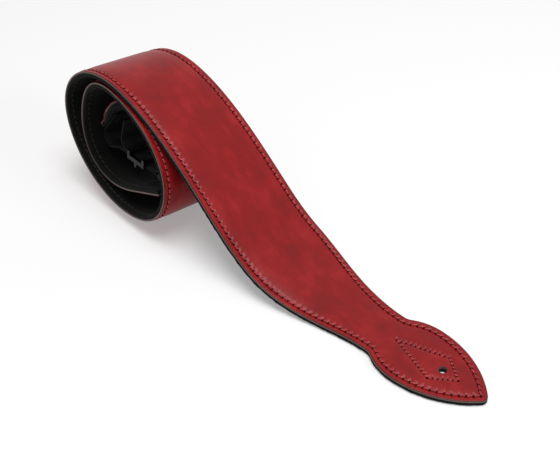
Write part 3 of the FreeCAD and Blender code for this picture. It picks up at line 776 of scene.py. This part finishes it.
def stitch_tree():
    """Geometry nodes that lay one short bowed thread along each stitch of a line, and a small disc
    of painted shade at each end of each stitch.
    """
    tree = bpy.data.node_groups.get("stitches_along_a_line")
    if tree:
        return tree
    tree = bpy.data.node_groups.new("stitches_along_a_line", "GeometryNodeTree")
    face = tree.interface
    for name, kind in TREE_INPUTS.items():
        face.new_socket(name, in_out="INPUT", socket_type="NodeSocket" + kind)
    face.new_socket("Geometry", in_out="OUTPUT", socket_type="NodeSocketGeometry")
    put = partial(add, tree)
    given = put("NodeGroupInput", output=None)

    curve = put("GeometryNodeMeshToCurve", {"Mesh": given["Geometry"]})
    even = put("GeometryNodeResampleCurve",
               {"Curve": curve, "Length": given["Stitch Length"]}, mode="LENGTH")
    legs = put("GeometryNodeCurveToMesh", {"Curve": even})
    ends = put("GeometryNodeInputMeshEdgeVertices", output=None)
    aim = put("ShaderNodeVectorMath", [ends["Position 2"], ends["Position 1"]],
              operation="SUBTRACT")
    aimed = put("GeometryNodeStoreNamedAttribute",
                {"Geometry": legs, "Name": "aim", "Value": aim},
                data_type="FLOAT_VECTOR", domain="EDGE")
    points = put("GeometryNodeMeshToPoints", {"Mesh": aimed}, mode="EDGES")
    tone = put("FunctionNodeRandomValue", {"Seed": given["Seed"]}, data_type="FLOAT",
               output="Value")
    toned = put("GeometryNodeStoreNamedAttribute",
                {"Geometry": points, "Name": "tone", "Value": tone},
                data_type="FLOAT", domain="POINT")

    half, deep, radius, hole_shade_radius = [
        put("ShaderNodeMath", [given[name], share], operation="MULTIPLY")
        for name, share in (("Stitch Length", STITCH_SHARE), ("Sink", -1.0),
                            ("Thread Width", 0.5), ("Hole Width", 0.5))
    ]
    back = put("ShaderNodeMath", [half, -1.0], operation="MULTIPLY")
    bow = put("GeometryNodeCurveQuadraticBezier", {
        "Resolution": 7,
        "Start": put("ShaderNodeCombineXYZ", {"X": back, "Z": deep}),
        "Middle": put("ShaderNodeCombineXYZ", {"Z": given["Rise"]}),
        "End": put("ShaderNodeCombineXYZ", {"X": half, "Z": deep}),
    })
    ring = put("GeometryNodeCurvePrimitiveCircle", {"Resolution": 8, "Radius": radius})
    thread = put("GeometryNodeCurveToMesh",
                 {"Curve": bow, "Profile Curve": ring, "Fill Caps": True})
    local = put("GeometryNodeInputPosition")
    strand = put("GeometryNodeStoreNamedAttribute",
                 {"Geometry": thread, "Name": "strand", "Value": local},
                 data_type="FLOAT_VECTOR", domain="POINT")
    smooth = put("GeometryNodeSetShadeSmooth", {"Geometry": strand})

    out, ahead = [
        put("GeometryNodeInputNamedAttribute", {"Name": name}, data_type="FLOAT_VECTOR")
        for name in ("out", "aim")
    ]
    lying = put("FunctionNodeAxesToRotation", {"Primary Axis": out, "Secondary Axis": ahead},
                primary_axis="Z", secondary_axis="X")
    uneven = put("FunctionNodeRandomValue", {"Min": -0.05, "Max": 0.05, "Seed": given["Seed"]},
                 data_type="FLOAT", output="Value")
    lean = put("ShaderNodeMath", [given["Lean"], uneven], operation="ADD")
    spin = put("FunctionNodeEulerToRotation", [put("ShaderNodeCombineXYZ", {"Z": lean})])
    turned = put("FunctionNodeRotateRotation", {"Rotation": lying, "Rotate By": spin},
                 rotation_space="LOCAL")

    # A small flattened disc of painted shade where the needle went in, at each end of each stitch.
    hole_shade_disc = put("GeometryNodeMeshUVSphere", {"Segments": 8, "Rings": 5, "Radius": hole_shade_radius})
    flat = put("GeometryNodeTransform", {"Geometry": hole_shade_disc, "Scale": (1.0, 1.0, 0.6)})
    flat = put("GeometryNodeSetShadeSmooth", {"Geometry": flat})
    upright = put("FunctionNodeAlignRotationToVector", {"Vector": out}, axis="Z")

    both = put("GeometryNodeJoinGeometry")
    for spots, shape, turn, dress in (
        (toned, smooth, turned, given["Material"]),
        (even, flat, upright, given["Hole Material"]),
    ):
        laid = put("GeometryNodeInstanceOnPoints",
                   {"Points": spots, "Instance": shape, "Rotation": turn})
        real = put("GeometryNodeRealizeInstances", {"Geometry": laid})
        dressed = put("GeometryNodeSetMaterial", {"Geometry": real, "Material": dress})
        tree.links.new(dressed, both.node.inputs[0])
    put("NodeGroupOutput", {"Geometry": both}, output=None)
    return tree


def sew(name, seams, station, height, under, tint, node):
    """Stitches along flat seams, lying height above the outer face, or under the inner one."""
    sizes, shades = bpy.context.scene.strap_sizes, bpy.context.scene.strap_colours
    mesh = bpy.data.meshes.new(name)
    verts, edges, outs = [], [], []
    for seam in seams:
        first = len(verts)
        for u, v, _ in seam["line"]:
            place, out, side = station(u)
            verts.append((place + side * v + out * height) * MM)
            outs.append(-out if under else out)
        edges += [(i, i + 1) for i in range(first, len(verts) - 1)]
    mesh.from_pydata(verts, edges, [])
    outward = mesh.attributes.new("out", "FLOAT_VECTOR", "POINT")
    outward.data.foreach_set("vector", [c for v in outs for c in v])
    thing = linked(name, mesh)
    modifier = thing.modifiers.new("stitches", "NODES")
    tree = stitch_tree()
    modifier.node_group = tree
    # A hair shorter than the stitch, so that rounding never drops the seam's last one.
    shortest = min(seam["stitch"] for seam in seams) * 0.9995
    values = {
        "Stitch Length": shortest * MM,
        "Thread Width": sizes.thread_width,
        "Rise": 0.45 * sizes.thread_width + STITCH_SINK,
        "Sink": STITCH_SINK,
        "Lean": STITCH_LEAN,
        "Seed": sizes.thread_seed,
        "Material": material(f"{tint}_bonded_thread", bonded_thread,
                             getattr(shades, f"{tint}_thread")),
        "Hole Width": NEEDLE_HOLE_SHADE,
        "Hole Material": material(f"needle_hole_in_{tint}", painted_hole_shade,
                                  getattr(shades, f"{tint}_hole")),
    }
    for item in tree.interface.items_tree:
        if item.in_out == "INPUT" and item.name in values:
            modifier[item.identifier] = values[item.name]
    apply_modifiers(thing)
    hand_over(thing, node)


# ---- operators
SLIVER = 0.02                # least half width of a section, so that it never closes
KITE_REACH = 70.0            # distance from the tip past which only the edge seam is near
SUEDE_SHARE = 0.6            # of the face's seam depth, on the suede side
CROWN_START = 4.5            # from the edge to where the padding begins to lift the leather
CROWN_RUN = 9.0
EDGE_BEND = 2.2              # how wide the pressed edge falls off
EDGE_FALL = 0.15             # and how far
RIM_WIDTH = 0.9              # of the darker rim beside the cut edge
RIM_SKIN = 0.55              # the skin attribute at its outer line
WALL_TOP = 0.06              # from the rim down to the cut edge's own top line
NAP = 0.15                   # how far the suede's nap stands out past the cut edge
NAP_CHANGE = 0.35
NAP_WAVES = (5.5, 2.4)
NAP_REACH = 3.0
NAP_LOW = 0.8                # share of the nap that shows lower on the edge
SUEDE_MIDDLE = -2.75
SUEDE_SET_BACK = 0.15        # of its top line from the cut edge
FRONT_HOLE = (Vector((0, 0, THICKNESS)), Vector((0, 0, 1)))


def strip_rows(inset, last, leaf_step, body_step):
    """Distances from the tip at which the strip's sections stand, close together at the tip."""
    start = tip_start(inset)
    rows = [start + 0.01 + 4.0 * (k / 14) ** 2 for k in range(14)]
    while rows[-1] + leaf_step < min(NECK_AT, last):
        rows.append(rows[-1] + leaf_step)
    if last < NECK_AT:
        return rows + [last]
    count = math.ceil((last - NECK_AT) / body_step)
    return rows + [NECK_AT + (last - NECK_AT) * k / count for k in range(count + 1)]


def strip_edge(u, v, half):
    """Distance from the strip's outline."""
    if u < NECK_AT:
        return max(edge_distance(TIP_DISTANCE - u, v), 0.0)
    return max(min(half - abs(v), BODY_LENGTH - u), 0.0)


def rounding(e, radius=0.6, drop=0.25):
    """How far a worn edge lies below its layer's face, at a distance e from the outline."""
    if e >= radius:
        return 0.0
    part = 1 - max(e, 0.0) / radius
    return drop * (1 - math.sqrt(max(1 - part * part, 0)))


def front_seams(sizes):
    """The edge seam and the four sides of the kite."""
    edge = seam_of(edge_line(), sizes.edge_pitch * 1000)
    kite = [seam_of(side, sizes.kite_pitch * 1000) for side in kite_lines()]
    return edge, kite


class STRAP_OT_face(bpy.types.Operator):
    """Adds the red face leather of the body and front leaf, drawn in along its seams"""

    bl_idname = "strap.face"
    bl_label = "Face leather"

    def execute(self, context):
        sizes, shades = context.scene.strap_sizes, context.scene.strap_colours
        edge, kite = front_seams(sizes)
        crown = sizes.crown * 1000

        def section(u):
            half = max(strip_half(u), SLIVER)
            near = [edge] + kite if u < KITE_REACH else [edge]
            ring = []
            for v in spread(half, 76):
                e = strip_edge(u, v, half)
                down = pulled_down(near, u, v, sizes) + rounding(e)
                down += EDGE_FALL * (1 - math.sin(math.pi / 2 * min(e / EDGE_BEND, 1.0)))
                lift = crown * eased((e - CROWN_START) / CROWN_RUN)
                skin = RIM_SKIN + (1 - RIM_SKIN) * eased(e / RIM_WIDTH)
                ring.append((v, lift - down, skin))
            wall = ring[-1][1] - WALL_TOP
            corners = ((half, wall), (half, -FACE), (-half, -FACE), (-half, wall))
            return ring + [(v, height, 0.0) for v, height in corners]

        cloth = material("waxed_pull_up_leather", pull_up_leather, shades)
        build_piece("body_face", strip_rows(0.0, BODY_LENGTH, 0.7, 0.85), strip_station,
                    section, cloth, "red_leather", "face_leather", FRONT_HOLE)
        return {"FINISHED"}


class STRAP_OT_backing(bpy.types.Operator):
    """Adds the napped black suede under the body and front leaf"""

    bl_idname = "strap.backing"
    bl_label = "Suede backing"

    def execute(self, context):
        sizes, shades = context.scene.strap_sizes, context.scene.strap_colours
        edge, kite = front_seams(sizes)

        def nap(u, side):
            """How far the nap stands out past the cut edge here, in mm."""
            coarse = unevenness(Vector((u / NAP_WAVES[0], 20 * side, 0)))
            fine = unevenness(Vector((u / NAP_WAVES[1], 20 * side, 7)))
            return max(NAP + NAP_CHANGE * coarse + NAP_CHANGE * fine, 0.0)

        def section(u):
            half = max(strip_half(u), SLIVER)
            near = [edge] + kite if u < KITE_REACH else [edge]
            left, right = nap(u, -1), nap(u, 1)
            ring = []
            for v in spread(half, 44):
                e = strip_edge(u, v, half)
                up = SUEDE_SHARE * pulled_down(near, u, v, sizes) + rounding(e, 1.0, 0.6)
                out = (right if v > 0 else -left) * (1 - eased(e / NAP_REACH))
                ring.append((v + out, up - THICKNESS, 1.0))
            corners = (
                (half + NAP_LOW * right, SUEDE_MIDDLE), (half - SUEDE_SET_BACK, SUEDE_TOP),
                (-half + SUEDE_SET_BACK, SUEDE_TOP), (-half - NAP_LOW * left, SUEDE_MIDDLE),
            )
            return ring + [(v, height, 0.0) for v, height in corners]

        cloth = material("napped_split_suede", napped_suede, shades)
        build_piece("body_backing", strip_rows(0.0, BODY_LENGTH, 1.0, 1.6), strip_station,
                    section, cloth, "black_suede", "backing_suede", FRONT_HOLE, 50)
        return {"FINISHED"}


class STRAP_OT_fillings(bpy.types.Operator):
    """Adds what lies between the layers: the foam padding and both leaves' stiffeners"""

    bl_idname = "strap.fillings"
    bl_label = "Padding and stiffeners"

    def execute(self, context):
        shades = context.scene.strap_colours
        board = material("pressed_leather_board", leather_board, shades)
        foam = material("closed_cell_foam", closed_cell_foam, shades)
        top, bottom = SUEDE_TOP - 0.55, FLOOR_TOP + GLUE

        def filling(name, half_of, us, station, *rest):
            def section(u):
                half = max(half_of(u, PADDING_MARGIN), SLIVER)
                ring = [(v, top - 0.3 * rounding(half - abs(v), 1.2, 1.0), 1.0)
                        for v in spread(half, 12)]
                return ring + [(half, bottom, 0.0), (-half, bottom, 0.0)]

            return build_piece(name, us, station, section, *rest)

        start = NECK_AT + 0.3
        run = BODY_LENGTH - PADDING_MARGIN - start
        padding = filling("body_padding", strip_half,
                          [start + run * k / 280 for k in range(281)], strip_station,
                          foam, "foam", "padding_foam")
        filling("front_stiffener", strip_half,
                strip_rows(PADDING_MARGIN, NECK_AT - 0.2, 1.5, 1.0), strip_station,
                board, "stiffener", "front_leaf_stiffener", FRONT_HOLE)
        reach = NECK_AT - tip_start(PADDING_MARGIN) - 0.01
        filling("rear_stiffener", rear_half, rear_rows(6.0, reach, 60), rear_station,
                board, "stiffener", "rear_leaf_stiffener", REAR_HOLE)
        return {"FINISHED"}


class STRAP_OT_rear_leaf(bpy.types.Operator):
    """Adds the rear leaf inside the roll: its face and its backing"""

    bl_idname = "strap.rear_leaf"
    bl_label = "Rear leaf"

    def execute(self, context):
        sizes, shades = context.scene.strap_sizes, context.scene.strap_colours
        seam = seam_of(rear_line(), sizes.edge_pitch * 1000)
        rows = rear_rows(0.0, NECK_AT - tip_start(0.0) - 0.01, 90)

        def layer(name, outer, inner, inward, count, *rest):
            def section(d):
                half = max(rear_half(d), SLIVER)
                x = TIP_DISTANCE - NECK_AT + d
                ring = []
                for v in spread(half, count):
                    e = max(edge_distance(x, v) if x > -WIDEST_DISTANCE else half - abs(v), 0)
                    down = rounding(e) + pulled_down([seam], d, v, sizes)
                    ring.append((v, outer + inward * down, 1.0))
                return ring + [(half, inner, 0.0), (-half, inner, 0.0)]

            build_piece(name, rows, rear_station, section, *rest, REAR_HOLE, 45)

        red = material("waxed_pull_up_leather", pull_up_leather, shades)
        black = material("napped_split_suede", napped_suede, shades)
        layer("rear_face", 0.0, -FACE, -1, 60, red, "red_leather", "rear_leaf_face")
        layer("rear_backing", -THICKNESS, SUEDE_TOP, 1, 40, black, "black_suede",
              "rear_leaf_backing")
        return {"FINISHED"}


class STRAP_OT_webbing(bpy.types.Operator):
    """Adds the adjuster webbing and the ring's loop"""

    bl_idname = "strap.webbing"
    bl_label = "Webbing"

    def execute(self, context):
        cloth = material("woven_polyester_webbing", woven_webbing, context.scene.strap_colours)
        half = WEB_WIDTH / 2

        def section(u):
            ring = []
            for sign in (1, -1):
                for k in range(23):
                    v = sign * (WEB_WIDTH * k / 22 - half)
                    selvedge = 0.35 * rounding(half - abs(v), 1.2, 1.0)
                    ring.append((v, sign * (WEB - selvedge), 1.0))
                ring.append((sign * half, 0.0, 1.0))
            return ring

        def band(name, points, node):
            stations = {u: tail_station(place, heading) for u, place, heading in points}
            build_piece(name, list(stations), stations.get, section, cloth, "black_webbing",
                        node, degrees=50)

        leaf_side = route(RUN_START, 180.0, LEAF_SIDE_MOVES, WEB_STEP)
        free_side = route(RUN_START, 0.0, loop_moves(RUN_SPACING) + FREE_END_MOVES, WEB_STEP)
        run = free_side[-1][0]
        whole = [(run - d, p, h + 180) for d, p, h in reversed(free_side)]
        whole += [(run + d, p, h) for d, p, h in leaf_side[1:]]
        band("adjuster", whole, "adjuster_webbing")
        moves = [(0, CHAPE_LENGTH + CHAPE_REACH)] + loop_moves(RUN_SPACING)
        moves.append((0, CHAPE_LENGTH - CHAPE_TURNED_IN))
        band("chape", route(CHAPE_START, END_HEADING, moves, WEB_STEP), "ring_chape")
        return {"FINISHED"}


class STRAP_OT_stitches(bpy.types.Operator):
    """Sews every seam, with red thread on the face and black on the suede"""

    bl_idname = "strap.stitches"
    bl_label = "Stitches"

    def execute(self, context):
        sizes = context.scene.strap_sizes
        pitch = sizes.kite_pitch * 1000
        edge, kite = front_seams(sizes)
        rear = seam_of(rear_line(), sizes.edge_pitch * 1000)
        half = WEB_WIDTH / 2 - 3.4
        neck = [seam_of(side, pitch)
                for side in box_lines(NECK_SEAM_START + 0.4, NECK_SEAM - 0.8, half - 1.5)]
        start = CHAPE_TURNED_IN - CHAPE_LENGTH + 0.4
        chape = [seam_of(side, pitch) for side in box_lines(start, CHAPE_SEAM - 0.8, half)]

        def chape_station(distance):
            return tail_station(way(END_HEADING, distance), END_HEADING)

        # Where the threads lie: over the face, and under the suede or the last webbing.
        lay, below = -0.25, -THICKNESS + 0.45
        neck_below = -THICKNESS - LAYER_GAP - 2 * WEB - 0.05
        chape_lay = CHAPE_OFFSET + RUN_SPACING + WEB + 0.1
        for name, seams, station, over, under, colours in (
            ("edge", [edge], strip_station, lay, below, ("red", "black")),
            ("kite", kite, strip_station, lay, below, ("red", "black")),
            ("rear", [rear], rear_station, lay, below, ("red", "black")),
            ("neck", neck, rear_station, 0.1, neck_below, ("red", "black")),
            ("chape", chape, chape_station, chape_lay, -0.15, ("black", "red")),
        ):
            node = "rear_leaf" if name == "rear" else name
            sew(f"{name}_seam_top", seams, station, over, False, colours[0],
                f"{node}_needle_thread")
            sew(f"{name}_seam_under", seams, station, under, True, colours[1],
                f"{node}_bobbin_thread")
        return {"FINISHED"}


class STRAP_OT_hardware(bpy.types.Operator):
    """Plates the ring and the slide with black nickel"""

    bl_idname = "strap.hardware"
    bl_label = "Ring and slide"

    def execute(self, context):
        plate = material("black_nickel_plating", black_nickel, context.scene.strap_colours)
        for name in ("ring", "tri_glide"):
            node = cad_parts[name]
            node.data.materials.clear()
            node.data.materials.append(plate)
        return {"FINISHED"}


# Where the camera stands and looks, in metres.
CAMERA_PLACE = Vector((0.19862, -0.33817, 0.43964))
CAMERA_RIGHT = Vector((0.71668, 0.69740, 0.0))
CAMERA_UP = Vector((-0.45806, 0.47072, 0.75406))
CAMERA_BACK = Vector((0.52588, -0.54042, 0.65681))
CAMERA_LENS = 64.2
# The soft lamps: name, place and width in metres, watts. They are turned to LAMP_TARGET.
LAMPS = (
    ("softbox_over", (0.1, -0.1, 1.8), 1.1, 26.0),
    ("softbox_right", (1.2, 0.35, 0.75), 0.6, 4.5),
)
LAMP_TARGET = Vector((-0.12, 0, 0.02))
FLOOR_HALF = 4.0
FLOOR_LEVEL = -0.0004
FLOOR_GLOW = 0.3             # how far the floor is lifted towards pure white when seen
WORLD_LIGHT = 0.25           # the world's strength as a light, and when seen
WORLD_SEEN = 1.0


def seen_directly(tree):
    """1 for what the camera sees itself, in a mirror or through glass, 0 for lit surfaces."""
    rays = add(tree, "ShaderNodeLightPath", output=None)
    seen = rays["Is Camera Ray"]
    for name in ("Is Glossy Ray", "Is Transmission Ray"):
        seen = add(tree, "ShaderNodeMath", [seen, rays[name]], operation="MAXIMUM")
    return seen


class STRAP_OT_stage(bpy.types.Operator):
    """Adds the pale floor, the soft lamps and the camera"""

    bl_idname = "strap.stage"
    bl_label = "Stage"

    def execute(self, context):
        scene = context.scene
        mesh = bpy.data.meshes.new("floor")
        corners = [(x * FLOOR_HALF, y * FLOOR_HALF, FLOOR_LEVEL)
                   for x, y in ((-1, -1), (1, -1), (1, 1), (-1, 1))]
        mesh.from_pydata(corners, [], [(0, 1, 2, 3)])
        mesh.materials.append(self.paper(scene.strap_colours))
        linked("floor", mesh)

        world = bpy.data.worlds.new("studio")
        scene.world = world
        tree = emptied(world)
        strength = add(tree, "ShaderNodeMix",
                       {"Factor": seen_directly(tree), 2: WORLD_LIGHT, 3: WORLD_SEEN},
                       data_type="FLOAT")
        light = add(tree, "ShaderNodeBackground", {"Color": rgba(1.0), "Strength": strength})
        add(tree, "ShaderNodeOutputWorld", {"Surface": light}, output=None)

        for name, place, width, watts in LAMPS:
            lamp = bpy.data.lights.new(name, "AREA")
            lamp.shape = "SQUARE"
            lamp.size = width
            lamp.energy = watts
            holder = linked(name, lamp)
            holder.location = place
            ahead = LAMP_TARGET - Vector(place)
            holder.rotation_euler = ahead.to_track_quat("-Z", "Y").to_euler()

        camera = bpy.data.cameras.new("camera")
        camera.lens = CAMERA_LENS
        camera.sensor_width = 36.0
        camera.clip_start = 0.01
        holder = linked("camera", camera)
        axes = [(*axis, 0) for axis in (CAMERA_RIGHT, CAMERA_UP, CAMERA_BACK)]
        holder.matrix_world = Matrix([*axes, (*CAMERA_PLACE, 1)]).transposed()
        scene.camera = holder
        scene.view_settings.view_transform = "Standard"
        return {"FINISHED"}

    def paper(self, shades):
        """Matt white paper, lifted towards pure white when seen but keeping its shadow."""
        made = bpy.data.materials.new("matt_paper_floor")
        tree = emptied(made)
        plain = add(tree, "ShaderNodeBsdfDiffuse", {"Color": rgba(shades.floor)})
        glow = add(tree, "ShaderNodeEmission", {"Color": rgba(1.0), "Strength": 1.0})
        share = add(tree, "ShaderNodeMath", [seen_directly(tree), FLOOR_GLOW],
                    operation="MULTIPLY")
        both = add(tree, "ShaderNodeMixShader", [share, plain, glow])
        add(tree, "ShaderNodeOutputMaterial", {"Surface": both}, output=None)
        return made


STEPS = (
    STRAP_OT_face,
    STRAP_OT_backing,
    STRAP_OT_fillings,
    STRAP_OT_rear_leaf,
    STRAP_OT_webbing,
    STRAP_OT_stitches,
    STRAP_OT_hardware,
    STRAP_OT_stage,
)


class STRAP_PT_panel(bpy.types.Panel):
    """The strap's sizes, colours and steps"""

    bl_idname = "STRAP_PT_panel"
    bl_label = "Guitar strap"
    bl_space_type = "VIEW_3D"
    bl_region_type = "UI"
    bl_category = "Strap"

    def draw(self, context):
        for group in (context.scene.strap_sizes, context.scene.strap_colours):
            box = self.layout.box()
            for name in group.__annotations__:
                box.prop(group, name)
        for step in STEPS:
            self.layout.operator(step.bl_idname)


CLASSES = (StrapSizes, StrapColours) + STEPS + (STRAP_PT_panel,)


def register():
    for kind in CLASSES:
        bpy.utils.register_class(kind)
    bpy.types.Scene.strap_sizes = bpy.props.PointerProperty(type=StrapSizes)
    bpy.types.Scene.strap_colours = bpy.props.PointerProperty(type=StrapColours)


def unregister():
    del bpy.types.Scene.strap_sizes
    del bpy.types.Scene.strap_colours
    for kind in reversed(CLASSES):
        bpy.utils.unregister_class(kind)


def main():
    register()
    for step in STEPS:
        group, name = step.bl_idname.split(".")
        getattr(getattr(bpy.ops, group), name)()


if __name__ == "__main__":
    main()
